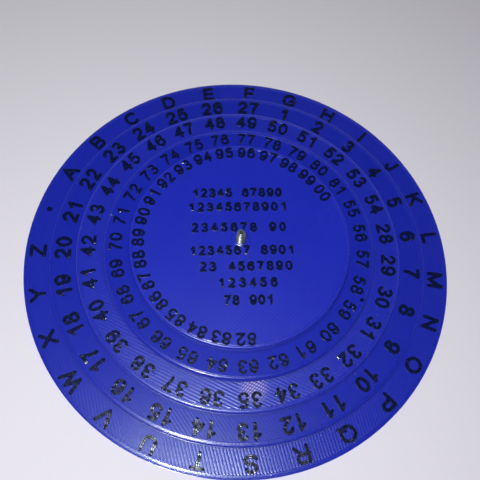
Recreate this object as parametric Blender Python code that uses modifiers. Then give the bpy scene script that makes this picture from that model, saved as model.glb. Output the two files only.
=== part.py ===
"""A stacked-disc cipher wheel, modelled in metres with +Z up.

Five flat printed discs of falling diameter lie on one another and turn on one steel pin. The largest
disc carries the letters and rests on the table, the next three carry numbers, and the smallest
carries numbers and the table of use. The pin is a cut nail: its head lies in a counterbore under the
largest disc, and its cut end stands out above the smallest one.

The origin is on the pin's axis, in the plane that the largest disc rests on.
"""

import math

import bpy

MM = 0.001

# Driving dimensions: the discs
LETTER_DISC_RADIUS = 60.0 * MM
DISC_1_27_RADIUS = 52.5 * MM
DISC_28_54_RADIUS = 44.8 * MM
DISC_55_81_RADIUS = 37.0 * MM
DISC_82_00_RADIUS = 29.8 * MM
DISC_THICKNESS = 2.3 * MM
TOP_EDGE_RADIUS = 0.4 * MM
BOTTOM_EDGE_CHAMFER = 0.2 * MM
BORE_CHAMFER = 0.3 * MM

# Driving dimensions: the pin
PIN_RADIUS = 1.2 * MM
PIN_STANDOUT = 5.1 * MM
PIN_END_CHAMFER = 0.35 * MM
PIN_HEAD_RADIUS = 2.7 * MM
PIN_HEAD_THICKNESS = 0.8 * MM
PIN_HEAD_EDGE_CHAMFER = 0.15 * MM

# Clearances
DISC_GAP = 0.3 * MM
PIN_RUNNING_CLEARANCE = 0.1 * MM
HEAD_SEAT_GAP = 0.3 * MM
HEAD_SIDE_CLEARANCE = 0.3 * MM
HEAD_RECESS = 0.2 * MM

# How finely the round shapes are divided: four facets to each of the 27 positions on a disc
POSITIONS = 27
DISC_SEGMENTS = 4 * POSITIONS
PIN_SEGMENTS = 48
EDGE_ARC_STEPS = 3
MERGE_DISTANCE = 0.00001
SMOOTH_ANGLE = math.radians(30.0)

# Looks
BLUE = (0.012, 0.016, 0.36, 1.0)
STEEL = (0.62, 0.62, 0.60, 1.0)
PLASTIC_ROUGHNESS = 0.38
STEEL_ROUGHNESS = 0.22

# The discs that turn, from the widest up
TURNING_DISCS = (
    ("disc_1_27", DISC_1_27_RADIUS),
    ("disc_28_54", DISC_28_54_RADIUS),
    ("disc_55_81", DISC_55_81_RADIUS),
    ("disc_82_00", DISC_82_00_RADIUS),
)

BORE_RADIUS = PIN_RADIUS + PIN_RUNNING_CLEARANCE
COUNTERBORE_RADIUS = PIN_HEAD_RADIUS + HEAD_SIDE_CLEARANCE
COUNTERBORE_DEPTH = HEAD_RECESS + PIN_HEAD_THICKNESS + HEAD_SEAT_GAP
LEVEL_HEIGHT = DISC_THICKNESS + DISC_GAP
STACK_HEIGHT = LEVEL_HEIGHT * len(TURNING_DISCS) + DISC_THICKNESS


def clear_scene():
    """Remove every object, so that the script can be run again in an open file."""
    for obj in list(bpy.data.objects):
        bpy.data.objects.remove(obj)


def make_material(name, colour, roughness, metallic):
    """Return a Principled material with one flat colour."""
    material = bpy.data.materials.new(name)
    material.use_nodes = True
    shader = material.node_tree.nodes["Principled BSDF"]
    shader.inputs["Base Color"].default_value = colour
    shader.inputs["Roughness"].default_value = roughness
    shader.inputs["Metallic"].default_value = metallic
    return material


def top_edge_arc(radius, height):
    """Return the rounded upper edge of a disc as (r, z) points, from the top face to the wall."""
    points = []
    for step in range(EDGE_ARC_STEPS + 1):
        angle = math.pi / 2 * (1 - step / EDGE_ARC_STEPS)
        points.append((
            radius - TOP_EDGE_RADIUS + TOP_EDGE_RADIUS * math.cos(angle),
            height - TOP_EDGE_RADIUS + TOP_EDGE_RADIUS * math.sin(angle),
        ))
    return points


def disc_outer_points(radius):
    """Return the outer side of a disc's section, from the top face down to the bottom face."""
    return top_edge_arc(radius, DISC_THICKNESS) + [
        (radius, BOTTOM_EDGE_CHAMFER),
        (radius - BOTTOM_EDGE_CHAMFER, 0),
    ]


def bore_top_points():
    """Return the chamfered mouth at the top of a disc's bore, going up."""
    return [
        (BORE_RADIUS, DISC_THICKNESS - BORE_CHAMFER),
        (BORE_RADIUS + BORE_CHAMFER, DISC_THICKNESS),
    ]


def turning_disc_section(radius):
    """Return the closed section of a disc that turns on the pin."""
    return disc_outer_points(radius) + [
        (BORE_RADIUS + BORE_CHAMFER, 0),
        (BORE_RADIUS, BORE_CHAMFER),
    ] + bore_top_points()


def letter_disc_section(radius):
    """Return the closed section of the base disc, with the counterbore for the pin's head."""
    return disc_outer_points(radius) + [
        (COUNTERBORE_RADIUS, 0),
        (COUNTERBORE_RADIUS, COUNTERBORE_DEPTH),
        (BORE_RADIUS, COUNTERBORE_DEPTH),
    ] + bore_top_points()


def pin_section():
    """Return the pin's open section, from the axis at its cut end to the axis under its head."""
    end = STACK_HEIGHT + PIN_STANDOUT
    head_top = HEAD_RECESS + PIN_HEAD_THICKNESS
    return [
        (0, end),
        (PIN_RADIUS - PIN_END_CHAMFER, end),
        (PIN_RADIUS, end - PIN_END_CHAMFER),
        (PIN_RADIUS, head_top),
        (PIN_HEAD_RADIUS - PIN_HEAD_EDGE_CHAMFER, head_top),
        (PIN_HEAD_RADIUS, head_top - PIN_HEAD_EDGE_CHAMFER),
        (PIN_HEAD_RADIUS, HEAD_RECESS + PIN_HEAD_EDGE_CHAMFER),
        (PIN_HEAD_RADIUS - PIN_HEAD_EDGE_CHAMFER, HEAD_RECESS),
        (0, HEAD_RECESS),
    ]


def make_turned(name, section, closed, segments, height, material, collection):
    """Turn a section about the Z axis and return the object, lifted to its height."""
    edges = [(i, i + 1) for i in range(len(section) - 1)]
    if closed:
        edges.append((len(section) - 1, 0))
    mesh = bpy.data.meshes.new(name)
    mesh.from_pydata([(r, 0, z) for r, z in section], edges, [])
    obj = bpy.data.objects.new(name, mesh)
    obj.location.z = height
    mesh.materials.append(material)
    collection.objects.link(obj)

    screw = obj.modifiers.new("turn", 'SCREW')
    screw.axis = 'Z'
    screw.angle = 2 * math.pi
    screw.steps = segments
    screw.render_steps = segments
    screw.use_merge_vertices = True
    screw.merge_threshold = MERGE_DISTANCE
    screw.use_smooth_shade = True
    return obj


def shade_round(obj):
    """Apply the turning and shade the round faces smooth, with the edges of the profile sharp."""
    depsgraph = bpy.context.evaluated_depsgraph_get()
    mesh = bpy.data.meshes.new_from_object(obj.evaluated_get(depsgraph))
    mesh.name = obj.name
    obj.modifiers.clear()
    obj.data = mesh
    mesh.shade_smooth()
    mesh.set_sharp_from_angle(angle=SMOOTH_ANGLE)


def main():
    """Build the discs and the pin."""
    clear_scene()
    collection = bpy.data.collections.new("cipher_wheel")
    bpy.context.scene.collection.children.link(collection)

    pieces = [make_turned(
        "letter_disc", letter_disc_section(LETTER_DISC_RADIUS), True, DISC_SEGMENTS, 0,
        make_material("letter_disc_blue", BLUE, PLASTIC_ROUGHNESS, 0), collection)]

    for level, (name, radius) in enumerate(TURNING_DISCS, start=1):
        pieces.append(make_turned(
            name, turning_disc_section(radius), True, DISC_SEGMENTS, level * LEVEL_HEIGHT,
            make_material(name + "_blue", BLUE, PLASTIC_ROUGHNESS, 0), collection))

    pieces.append(make_turned(
        "centre_pin", pin_section(), False, PIN_SEGMENTS, 0,
        make_material("pin_steel", STEEL, STEEL_ROUGHNESS, 1), collection))

    bpy.context.view_layer.update()
    for piece in pieces:
        shade_round(piece)


main()
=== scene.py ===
"""Dresses the stacked-disc cipher wheel: printed blue discs, raised black characters and a cut steel pin.

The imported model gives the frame: five discs that turn about +Z and the pin that they turn on. Each disc is
printed here again at the same size, with its layer lines and the beads of its rim, and carries a ring of
characters laid as beads of black plastic.
"""

from __future__ import annotations

import logging
import math
from collections.abc import Iterable, Sequence
from dataclasses import dataclass
from enum import Enum

import bpy
import numpy as np
from mathutils import Matrix, Vector


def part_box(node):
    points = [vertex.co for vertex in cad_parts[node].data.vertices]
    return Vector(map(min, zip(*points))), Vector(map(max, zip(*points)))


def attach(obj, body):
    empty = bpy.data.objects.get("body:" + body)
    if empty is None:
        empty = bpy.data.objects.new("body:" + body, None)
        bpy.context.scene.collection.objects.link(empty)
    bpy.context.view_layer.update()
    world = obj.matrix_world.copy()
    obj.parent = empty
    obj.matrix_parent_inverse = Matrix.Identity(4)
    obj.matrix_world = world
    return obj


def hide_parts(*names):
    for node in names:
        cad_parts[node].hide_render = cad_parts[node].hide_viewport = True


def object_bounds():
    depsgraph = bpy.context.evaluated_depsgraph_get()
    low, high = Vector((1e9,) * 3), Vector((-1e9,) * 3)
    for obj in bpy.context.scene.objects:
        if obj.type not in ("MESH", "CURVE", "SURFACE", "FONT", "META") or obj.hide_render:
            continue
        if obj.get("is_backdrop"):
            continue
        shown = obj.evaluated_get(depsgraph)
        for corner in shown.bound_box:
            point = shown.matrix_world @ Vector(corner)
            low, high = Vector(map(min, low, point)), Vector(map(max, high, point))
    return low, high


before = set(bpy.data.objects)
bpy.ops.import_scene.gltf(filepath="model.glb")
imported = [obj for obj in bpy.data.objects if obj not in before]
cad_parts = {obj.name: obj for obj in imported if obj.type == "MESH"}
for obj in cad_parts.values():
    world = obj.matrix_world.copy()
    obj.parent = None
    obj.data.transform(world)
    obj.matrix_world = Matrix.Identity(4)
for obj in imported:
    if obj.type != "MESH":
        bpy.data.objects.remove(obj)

LOG = logging.getLogger("cipher_wheel")
MM = 0.001
# How far a rim's crest stands above the filled face, how deep the beads of the characters are sunk, and how
# far a turning disc's foot reaches into the gap below it.
EDGE_RISE = 0.05 * MM
SINK = EDGE_RISE + 0.05 * MM
SKIRT = 0.18 * MM
# The angle above which an edge of a turned mesh stays sharp, and the degrees between points of an arc.
SHARP_TURN = math.radians(8.0)
ARC_STEP = 12.0

Point = tuple[float, float]
Place = tuple[float, float, float]
Colour = tuple[float, float, float, float]
Socket = bpy.types.NodeSocket
Inputs = dict["str | int", object]


class Body(Enum):
    """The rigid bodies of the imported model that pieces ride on."""

    BASE = "base"
    RING_1_27 = "ring_1_27"
    RING_28_54 = "ring_28_54"
    RING_55_81 = "ring_55_81"
    RING_82_00 = "ring_82_00"


class Slot(Enum):
    """The record's material slots."""

    BLUE = "blue_plastic"
    BLACK = "black_print"
    STEEL = "pin_steel"


class Canvas:
    """A node tree with short calls for adding nodes and joining their sockets."""

    def __init__(self, tree: bpy.types.NodeTree) -> None:
        """Keep the tree and clear it."""
        self.tree = tree
        tree.nodes.clear()

    def join(self, node: bpy.types.Node, inputs: Inputs) -> bpy.types.Node:
        """Join outputs to a node's inputs, or set the inputs' own values.

        Args:
            node: the node.
            inputs: an output or a plain value for each input, by its name or number.

        Returns:
            The same node.
        """
        for key, value in inputs.items():
            if isinstance(value, Socket):
                self.tree.links.new(value, node.inputs[key])
            else:
                node.inputs[key].default_value = value
        return node

    def node(self, kind: str, inputs: Inputs | None = None, **settings: object) -> bpy.types.Node:
        """Add a node.

        Args:
            kind: the node's Blender type name.
            inputs: what its inputs get.
            settings: properties of the node and their values.

        Returns:
            The new node.
        """
        node = self.tree.nodes.new(kind)
        for name, value in settings.items():
            setattr(node, name, value)
        return self.join(node, inputs or {})

    def out(self, kind: str, inputs: Inputs | None = None, **settings: object) -> Socket:
        """Add a node and return its first output."""
        return self.node(kind, inputs, **settings).outputs[0]

    def math(self, operation: str, *values: object, clamp: bool = False) -> Socket:
        """Return the result of a sum, such as MULTIPLY, on one to three numbers or outputs."""
        return self.out("ShaderNodeMath", dict(enumerate(values)), operation=operation, use_clamp=clamp)

    def vector(self, operation: str, *values: object) -> Socket:
        """Return the vector that a sum on vectors gives."""
        return self.out("ShaderNodeVectorMath", dict(enumerate(values)), operation=operation)

    def scaled(self, vector: Socket, factor: Socket) -> Socket:
        """Return a vector times a number."""
        return self.out("ShaderNodeVectorMath", {0: vector, "Scale": factor}, operation='SCALE')

    def distance(self, where: Socket, middle: Place = (0.0, 0.0, 0.0)) -> Socket:
        """Return how far a position is from a middle, seen from above."""
        flat = self.vector("MULTIPLY", self.vector("SUBTRACT", where, middle), (1.0, 1.0, 0.0))
        return self.node("ShaderNodeVectorMath", {0: flat}, operation='LENGTH').outputs["Value"]

    def towards(self, where: Socket, degrees: float) -> Socket:
        """Return how far a position lies in a level direction.

        Args:
            where: the position.
            degrees: the direction, counterclockwise from the X axis.

        Returns:
            The distance from the origin in that direction.
        """
        turn = math.radians(degrees)
        heading = (math.cos(turn), math.sin(turn), 0.0)
        node = self.node("ShaderNodeVectorMath", {0: where, 1: heading}, operation='DOT_PRODUCT')
        return node.outputs["Value"]

    def position(self) -> Socket:
        """Return the position in the object's own coordinates, for a material."""
        return self.node("ShaderNodeTexCoord").outputs["Object"]

    def noise(self, where: Socket, scale: float, detail: float = 2.0, output: str = "Fac") -> Socket:
        """Return a noise.

        Args:
            where: the position that it is read at.
            scale: how fine it is, in cycles per metre.
            detail: how many finer layers are added.
            output: Fac for a number, or Color for a vector of three.

        Returns:
            The noise, from 0 to 1.
        """
        values = {"Vector": where, "Scale": scale, "Detail": detail}
        return self.node("ShaderNodeTexNoise", values).outputs[output]

    def drift(self, where: Socket, scale: float) -> Socket:
        """Return a coarse random vector about zero, from -0.5 to 0.5 each way."""
        return self.vector("SUBTRACT", self.noise(where, scale, 1.0, "Color"), (0.5, 0.5, 0.5))

    def ramp(self, value: Socket, low: float, high: float) -> Socket:
        """Return a smooth step from 0 at low to 1 at high."""
        values = {"Value": value, "From Min": low, "From Max": high}
        return self.node("ShaderNodeMapRange", values, interpolation_type='SMOOTHSTEP').outputs["Result"]

    def blend(self, factor: Socket, first: object, second: object) -> Socket:
        """Return a plain number between two, by a factor from 0 to 1."""
        return self.out("ShaderNodeMix", {0: factor, 2: first, 3: second}, data_type='FLOAT')

    def tint(self, factor: Socket, first: object, second: object) -> Socket:
        """Return a colour between two, by a factor from 0 to 1."""
        return self.node("ShaderNodeMix", {0: factor, 6: first, 7: second}, data_type='RGBA').outputs[2]

    def bumps(self, height: Socket, unit: float) -> Socket:
        """Return the normal of a face with a relief, where a height of 1 is one unit in metres."""
        return self.out("ShaderNodeBump", {"Height": height, "Distance": unit})


def new_material(name: str) -> tuple[bpy.types.Material, Canvas]:
    """Make a material with nodes.

    Args:
        name: the material's name.

    Returns:
        The material and its canvas.
    """
    material = bpy.data.materials.new(name)
    material.use_nodes = True
    return material, Canvas(material.node_tree)


def new_surface(name: str) -> tuple[bpy.types.Material, Canvas, bpy.types.Node]:
    """Make a material with a Principled shader, joined to its output.

    Args:
        name: the material's name.

    Returns:
        The material, the canvas to draw on and the shader node.
    """
    material, canvas = new_material(name)
    shader = canvas.node("ShaderNodeBsdfPrincipled")
    canvas.node("ShaderNodeOutputMaterial", {"Surface": shader.outputs["BSDF"]})
    return material, canvas, shader


@dataclass(frozen=True)
class Fill:
    """How one disc's face is filled, and how it shines.

    Attributes:
        angle: the direction of the zigzag's lines, in degrees.
        relief: how far the lines stand out, as a share.
        sheen: the specular level.
        tone: how strong the blue is, as a share.
        seed: moves the noises, so that no two discs are alike.
        covered: the radius of the disc that lies on this one, where a ring of painted shade starts, or 0 for
            none.
        painted_glare_patch: the middle and the reach of a patch of painted glare.
    """

    angle: float
    relief: float
    sheen: float
    tone: float
    seed: float
    covered: float = 0.0
    painted_glare_patch: Place | None = None


@dataclass(frozen=True)
class PrintedBlue:
    """Royal blue printed plastic whose flat faces show the zigzag fill inside a rim of round beads.

    Two lines of the fill are laid in one stroke, there and back, so each second line stands higher, and
    at the rim each pair is joined by a small bright turn. Heights are in millimetres, and the scales of
    noises in cycles per metre. The hatch of the patch of painted glare is given as angles from the fill,
    and pitches in lines. The border is how softly the fill begins, and the turns' middle and sharpness
    say where they lie in from the rim's beads, in lines, and how short they are. The colour carries
    painted shade in the grooves and at the foot of the disc above, and painted light on the walls.
    """

    name: str
    outer_radius: float
    bore_radius: float
    fill: Fill
    line_width: float
    rim_beads: int
    bore_beads: int = 2
    # How far the painted shade reaches out from the foot of the disc above.
    painted_shade_reach: float = 1.0 * MM
    hatch: tuple[Point, ...] = ((0.0, 1.9), (75.0, 1.5))
    # Painted shade: the darker blue at the foot of the disc that lies on this one.
    corner: Colour = (0.005, 0.012, 0.29, 1.0)
    # Painted glare: the pale pink that one patch of crossed lines is tinted with.
    painted_glare: Colour = (0.60, 0.48, 0.66, 1.0)
    deep: Colour = (0.006, 0.014, 0.35, 1.0)
    bright: Colour = (0.009, 0.020, 0.44, 1.0)
    # Painted light: the walls get a lighter blue than the flat faces.
    wall: Colour = (0.018, 0.034, 0.55, 1.0)
    gloss: Colour = (0.76, 0.88, 1.0, 1.0)
    groove_shade: float = 3.0
    flat_band: Point = (0.6, 0.95)
    patch_scale: float = 70.0
    patch_band: Point = (0.15, 0.6)
    grain_scale: float = 2600.0
    fleck_scale: float = 4200.0
    fleck_band: Point = (0.66, 0.74)
    wander_scale: float = 700.0
    wander_lines: float = 0.3
    border: float = 0.1
    turn_middle: float = 0.4
    turn_sharpness: float = 3.0
    bead_sharpness: float = 4.0
    fill_roughness: float = 0.25
    rim_roughness: float = 0.23
    wall_roughness: float = 0.55
    grain_roughness: float = 0.1
    fill_coat: float = 0.25
    rim_coat: float = 0.45
    coat_roughness: float = 0.12
    pair_height: float = 0.013
    bead_height: float = 0.009
    turn_height: float = 0.022
    fleck_height: float = 0.025
    grain_height: float = 0.010

    def make(self) -> bpy.types.Material:
        """Make the finish.

        Returns:
            The material.
        """
        material, canvas, shader = new_surface(self.name)
        where = canvas.position()
        stirred = canvas.vector("ADD", where, (self.fill.seed, 0.7 * self.fill.seed, 0.0))
        patches = canvas.noise(stirred, self.patch_scale)
        grain = canvas.noise(stirred, self.grain_scale, 3.0)
        flecks = canvas.ramp(canvas.noise(stirred, self.fleck_scale, 1.0), *self.fleck_band)
        filled, lines, rim, turns = self._lines(canvas, where, patches)
        flatness = self._flatness(canvas)

        face = self._face(canvas, where, patches, canvas.math("MULTIPLY", lines, filled))
        rough = canvas.blend(filled, self.rim_roughness, self.fill_roughness)
        rough = canvas.blend(flatness, self.wall_roughness, rough)
        coat = canvas.blend(filled, self.rim_coat, self.fill_coat)
        height = canvas.blend(filled, rim, lines)
        height = canvas.math("MULTIPLY_ADD", turns, self.turn_height * self.fill.relief, height)
        height = canvas.math("MULTIPLY", height, flatness)
        height = canvas.math("MULTIPLY_ADD", flecks, self.fleck_height, height)
        height = canvas.math("MULTIPLY_ADD", grain, self.grain_height, height)
        bumps = canvas.bumps(height, MM)
        canvas.join(shader, {
            # Walls are painted a lighter blue than the flat faces, as painted light.
            "Base Color": canvas.tint(flatness, self.wall, face),
            "Roughness": canvas.math("MULTIPLY_ADD", grain, self.grain_roughness, rough),
            "Specular IOR Level": self.fill.sheen,
            "Specular Tint": self.gloss,
            "Coat Weight": canvas.math("MULTIPLY", coat, flatness),
            "Coat Roughness": self.coat_roughness,
            "Normal": bumps,
            "Coat Normal": bumps,
        })
        return material

    def _face(self, canvas: Canvas, where: Socket, patches: Socket, lines: Socket) -> Socket:
        """Return the colour of the flat face.

        Args:
            canvas: the material's canvas.
            where: the object position.
            patches: a slow noise.
            lines: the height of the fill's lines, and 0 outside the fill.

        Returns:
            The colour, with painted shade in the grooves and at the foot of the disc above, and painted glare
            in one patch.
        """
        # Painted shade: the grooves between the fill's lines are darker and the crests lighter; the slow
        # patches are the plastic's own tone.
        grooves = canvas.math("MULTIPLY_ADD", lines, self.groove_shade, 0.5)
        shade = canvas.math("MULTIPLY_ADD", patches, 0.5, canvas.math("MULTIPLY", grooves, 0.5))
        deep, bright = ((*colour[:2], colour[2] * self.fill.tone, 1.0) for colour in (self.deep, self.bright))
        face = canvas.tint(shade, deep, bright)
        covered = self.fill.covered
        # Painted shade: the face darkens towards the foot of the disc that lies on it.
        if covered > 0.0:
            away = canvas.ramp(canvas.distance(where), covered, covered + self.painted_shade_reach)
            face = canvas.tint(away, self.corner, face)
        # Painted glare: one patch of fine crossed lines is tinted pale.
        if self.fill.painted_glare_patch is not None:
            face = canvas.tint(self._painted_glare_hatch(canvas, where), face, self.painted_glare)
        return face

    def _painted_glare_hatch(self, canvas: Canvas, where: Socket) -> Socket:
        """Return how strongly a patch of fine crossed lines is tinted with painted glare.

        Args:
            canvas: the material's canvas.
            where: the object position.

        Returns:
            A number from 0 to 1.
        """
        x, y, reach = self.fill.painted_glare_patch
        marks = canvas.ramp(canvas.distance(where, (x, y, 0.0)), reach, 0.3 * reach)
        for turned, lines in self.hatch:
            across = canvas.towards(where, self.fill.angle + turned + 90.0)
            phase = canvas.math("MULTIPLY", across, 2.0 * math.pi / (lines * self.line_width))
            marks = canvas.math("MULTIPLY", marks, self._wave(canvas, phase))
        return marks

    def _flatness(self, canvas: Canvas) -> Socket:
        """Tell flat faces from walls.

        Args:
            canvas: the material's canvas.

        Returns:
            1 on faces that lie flat and 0 on walls.
        """
        normal = canvas.node("ShaderNodeNewGeometry").outputs["Normal"]
        upright = canvas.node("ShaderNodeSeparateXYZ", {0: normal}).outputs["Z"]
        return canvas.ramp(canvas.math("ABSOLUTE", upright), *self.flat_band)

    def _lines(self, canvas: Canvas, where: Socket, patches: Socket) -> tuple[Socket, ...]:
        """Draw the zigzag fill, the beads of the rim and the turns.

        Args:
            canvas: the material's canvas.
            where: the object position.
            patches: a slow noise that makes the fill stand out more in some places.

        Returns:
            The fill's mask from 0 to 1, the height of its lines and of the rim's beads in millimetres,
            and how near a point is to the turn that joins two lines, from 0 to 1.
        """
        relief = self.fill.relief
        across = canvas.towards(where, self.fill.angle + 90.0)
        along = canvas.towards(where, self.fill.angle)
        radius = canvas.distance(where)
        wander = canvas.math("MULTIPLY", canvas.noise(where, self.wander_scale, 1.0), self.wander_lines)
        line = canvas.math("ADD", canvas.math("DIVIDE", across, self.line_width), wander)
        from_rim = canvas.math("DIVIDE", canvas.math("SUBTRACT", self.outer_radius, radius), self.line_width)
        from_bore = canvas.math("DIVIDE", canvas.math("SUBTRACT", radius, self.bore_radius), self.line_width)

        inside = canvas.ramp(from_rim, self.rim_beads - self.border, self.rim_beads + self.border)
        outside = canvas.ramp(from_bore, self.bore_beads - self.border, self.bore_beads + self.border)
        filled = canvas.math("MULTIPLY", inside, outside)
        swing = canvas.math("COSINE", canvas.math("MULTIPLY", line, math.pi))
        strength = canvas.math("MULTIPLY", canvas.ramp(patches, *self.patch_band), self.pair_height * relief)
        bead = canvas.math("MULTIPLY", self._bead(canvas, line), self.bead_height * relief)
        lines = canvas.math("MULTIPLY_ADD", swing, strength, bead)
        rim = canvas.math("MULTIPLY", self._bead(canvas, from_rim), self.bead_height)

        side = canvas.math("MULTIPLY", canvas.math("GREATER_THAN", along, 0.0), math.pi)
        phase = canvas.math("ADD", canvas.math("MULTIPLY", line, math.pi), side)
        turn = canvas.math("POWER", self._wave(canvas, phase), self.turn_sharpness)
        near = canvas.math("ABSOLUTE", canvas.math("SUBTRACT", from_rim, self.rim_beads + self.turn_middle))
        turns = canvas.math("MULTIPLY", turn, canvas.math("SUBTRACT", 1.0, near, clamp=True))
        return filled, lines, rim, turns

    def _wave(self, canvas: Canvas, phase: Socket) -> Socket:
        """Return a cosine wave from 0 to 1."""
        return canvas.math("MULTIPLY_ADD", canvas.math("COSINE", phase), 0.5, 0.5)

    def _bead(self, canvas: Canvas, count: Socket) -> Socket:
        """Draw beads laid side by side, flat on top with a groove between two.

        Args:
            canvas: the material's canvas.
            count: how far across the beads a point lies, counted in beads.

        Returns:
            Their height, from 0 to 1.
        """
        swing = canvas.math("MULTIPLY_ADD", canvas.math("FRACT", count), 2.0, -1.0)
        fall = canvas.math("POWER", canvas.math("ABSOLUTE", swing), self.bead_sharpness)
        return canvas.math("SUBTRACT", 1.0, fall)


@dataclass(frozen=True)
class PrintedBlack:
    """Black printed plastic: glossy, lumpy beads with a cold cast."""

    name: str = "black_print"
    deep: Colour = (0.0008, 0.0045, 0.035, 1.0)
    pale: Colour = (0.0014, 0.0070, 0.065, 1.0)
    gloss: Colour = (0.80, 0.90, 1.0, 1.0)
    sheen: float = 0.6
    roughness: float = 0.20
    lump_roughness: float = 0.12
    lump_scale: float = 1800.0
    lump_band: Point = (0.35, 0.75)
    relief: float = 0.003 * MM

    def make(self) -> bpy.types.Material:
        """Make the finish.

        Returns:
            The material.
        """
        material, canvas, shader = new_surface(self.name)
        lumps = canvas.noise(canvas.position(), self.lump_scale, 3.0)
        canvas.join(shader, {
            "Base Color": canvas.tint(canvas.ramp(lumps, *self.lump_band), self.deep, self.pale),
            "Roughness": canvas.math("MULTIPLY_ADD", lumps, self.lump_roughness, self.roughness),
            "Specular IOR Level": self.sheen,
            "Specular Tint": self.gloss,
            "Normal": canvas.bumps(lumps, self.relief),
        })
        return material


@dataclass(frozen=True)
class DrawnSteel:
    """Bright nail steel, with fine lines along the shaft and a few dull spots."""

    name: str = "pin_steel"
    bright: Colour = (0.26, 0.30, 0.33, 1.0)
    dull: Colour = (0.15, 0.18, 0.18, 1.0)
    stretch: Place = (1.0, 1.0, 0.06)
    line_scale: float = 9000.0
    spot_scale: float = 1200.0
    spot_band: Point = (0.5, 0.75)
    roughness: float = 0.22
    spot_roughness: float = 0.15
    line_roughness: float = 0.1
    relief: float = 0.01 * MM

    def make(self) -> bpy.types.Material:
        """Make the finish.

        Returns:
            The material.
        """
        material, canvas, shader = new_surface(self.name)
        where = canvas.position()
        lines = canvas.noise(canvas.vector("MULTIPLY", where, self.stretch), self.line_scale)
        spots = canvas.ramp(canvas.noise(where, self.spot_scale, 3.0), *self.spot_band)
        rough = canvas.math("MULTIPLY_ADD", spots, self.spot_roughness, self.roughness)
        canvas.join(shader, {
            "Metallic": 1.0,
            "Base Color": canvas.tint(spots, self.bright, self.dull),
            "Roughness": canvas.math("MULTIPLY_ADD", lines, self.line_roughness, rough),
            "Normal": canvas.bumps(lines, self.relief),
        })
        return material


@dataclass(frozen=True)
class PaleBackdrop:
    """A plain pale backdrop that is seen directly and in reflections but lights nothing."""

    name: str = "pale_backdrop"
    colour: Colour = (0.50, 0.495, 0.52, 1.0)

    def make(self) -> bpy.types.Material:
        """Make the finish.

        Returns:
            The material.
        """
        material, canvas = new_material(self.name)
        self.show(canvas, canvas.out("ShaderNodeBsdfTransparent"))
        return material

    def show(self, canvas: Canvas, other: Socket, share: Socket | None = None) -> None:
        """Show the backdrop to rays from the camera, from glossy faces and through glass.

        Args:
            canvas: the material's canvas.
            other: the shader that all other rays meet.
            share: how much of the backdrop is shown, from 0 to 1, or all of it.
        """
        path = canvas.node("ShaderNodeLightPath").outputs
        mirrored = canvas.math("MAXIMUM", path["Is Glossy Ray"], path["Is Transmission Ray"])
        seen = canvas.math("MAXIMUM", path["Is Camera Ray"], mirrored)
        if share is not None:
            seen = canvas.math("MULTIPLY", share, seen)
        glow = canvas.out("ShaderNodeEmission", {"Color": self.colour})
        mixed = canvas.out("ShaderNodeMixShader", {0: seen, 1: other, 2: glow})
        canvas.node("ShaderNodeOutputMaterial", {"Surface": mixed})


@dataclass(frozen=True)
class PaleTable:
    """A plain pale table top that turns into the backdrop well away from the wheel."""

    name: str = "pale_table"
    colour: Colour = (0.775, 0.76, 0.825, 1.0)
    grain_shade: float = 0.97
    grain_scale: float = 900.0
    roughness: float = 0.7
    sheen: float = 0.2
    near: float = 0.145
    far: float = 0.32

    def make(self) -> bpy.types.Material:
        """Make the finish.

        Returns:
            The material.
        """
        material, canvas = new_material(self.name)
        where = canvas.position()
        darker = tuple(self.grain_shade * part for part in self.colour[:3]) + (1.0,)
        shader = canvas.node("ShaderNodeBsdfPrincipled", {
            "Base Color": canvas.tint(canvas.noise(where, self.grain_scale), darker, self.colour),
            "Roughness": self.roughness,
            "Specular IOR Level": self.sheen,
        })
        away = canvas.ramp(canvas.distance(where), self.near, self.far)
        PaleBackdrop().show(canvas, shader.outputs["BSDF"], away)
        return material


@dataclass(frozen=True)
class Arc:
    """A stretch of an upright ellipse, with its angles in degrees, counterclockwise from the right."""

    x: float
    y: float
    rx: float
    ry: float
    start: float = 90.0
    end: float = 450.0

    def points(self) -> list[Point]:
        """Step along the arc.

        Returns:
            Points on it, with both ends.
        """
        steps = max(3, round(abs(self.end - self.start) / ARC_STEP))
        turns = (math.radians(self.start + (self.end - self.start) * i / steps) for i in range(steps + 1))
        return [(self.x + self.rx * math.cos(turn), self.y + self.ry * math.sin(turn)) for turn in turns]


Stroke = tuple["Point | Arc", ...]


@dataclass(frozen=True)
class Glyph:
    """One character as the middle lines of its strokes, in a box one unit high."""

    width: float
    strokes: tuple[Stroke, ...]


def glyph(width: float, *strokes: Stroke) -> Glyph:
    """Return a character of a width, drawn in strokes."""
    return Glyph(width, strokes)


DIGITS = {
    "0": glyph(0.60, (Arc(0.30, 0.50, 0.30, 0.50),)),
    "1": glyph(0.30, ((0, 0.72), (0.14, 0.80), (0.28, 1), (0.28, 0))),
    "2": glyph(0.60, (Arc(0.30, 0.71, 0.28, 0.29, 165, -38), (0, 0), (0.60, 0))),
    "3": glyph(0.60, (Arc(0.29, 0.765, 0.25, 0.235, 155, -90),), (Arc(0.29, 0.265, 0.30, 0.265, 90, -155),)),
    "4": glyph(0.64, ((0.46, 0), (0.46, 1), (0, 0.30), (0.64, 0.30))),
    "5": glyph(0.60, ((0.54, 1), (0.13, 1), (0.05, 0.50)), (Arc(0.29, 0.32, 0.30, 0.32, 142, -152),)),
    "6": glyph(0.60, (Arc(0.30, 0.31, 0.30, 0.31),), (Arc(0.31, 0.50, 0.31, 0.50, 38, 195),)),
    "7": glyph(0.60, ((0, 1), (0.60, 1), (0.38, 0.62), (0.25, 0.30), (0.20, 0))),
    "8": glyph(0.60, (Arc(0.30, 0.765, 0.245, 0.235),), (Arc(0.30, 0.265, 0.30, 0.265),)),
    "9": glyph(0.60, (Arc(0.30, 0.69, 0.30, 0.31),), (Arc(0.29, 0.50, 0.31, 0.50, 218, 375),)),
}

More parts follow.
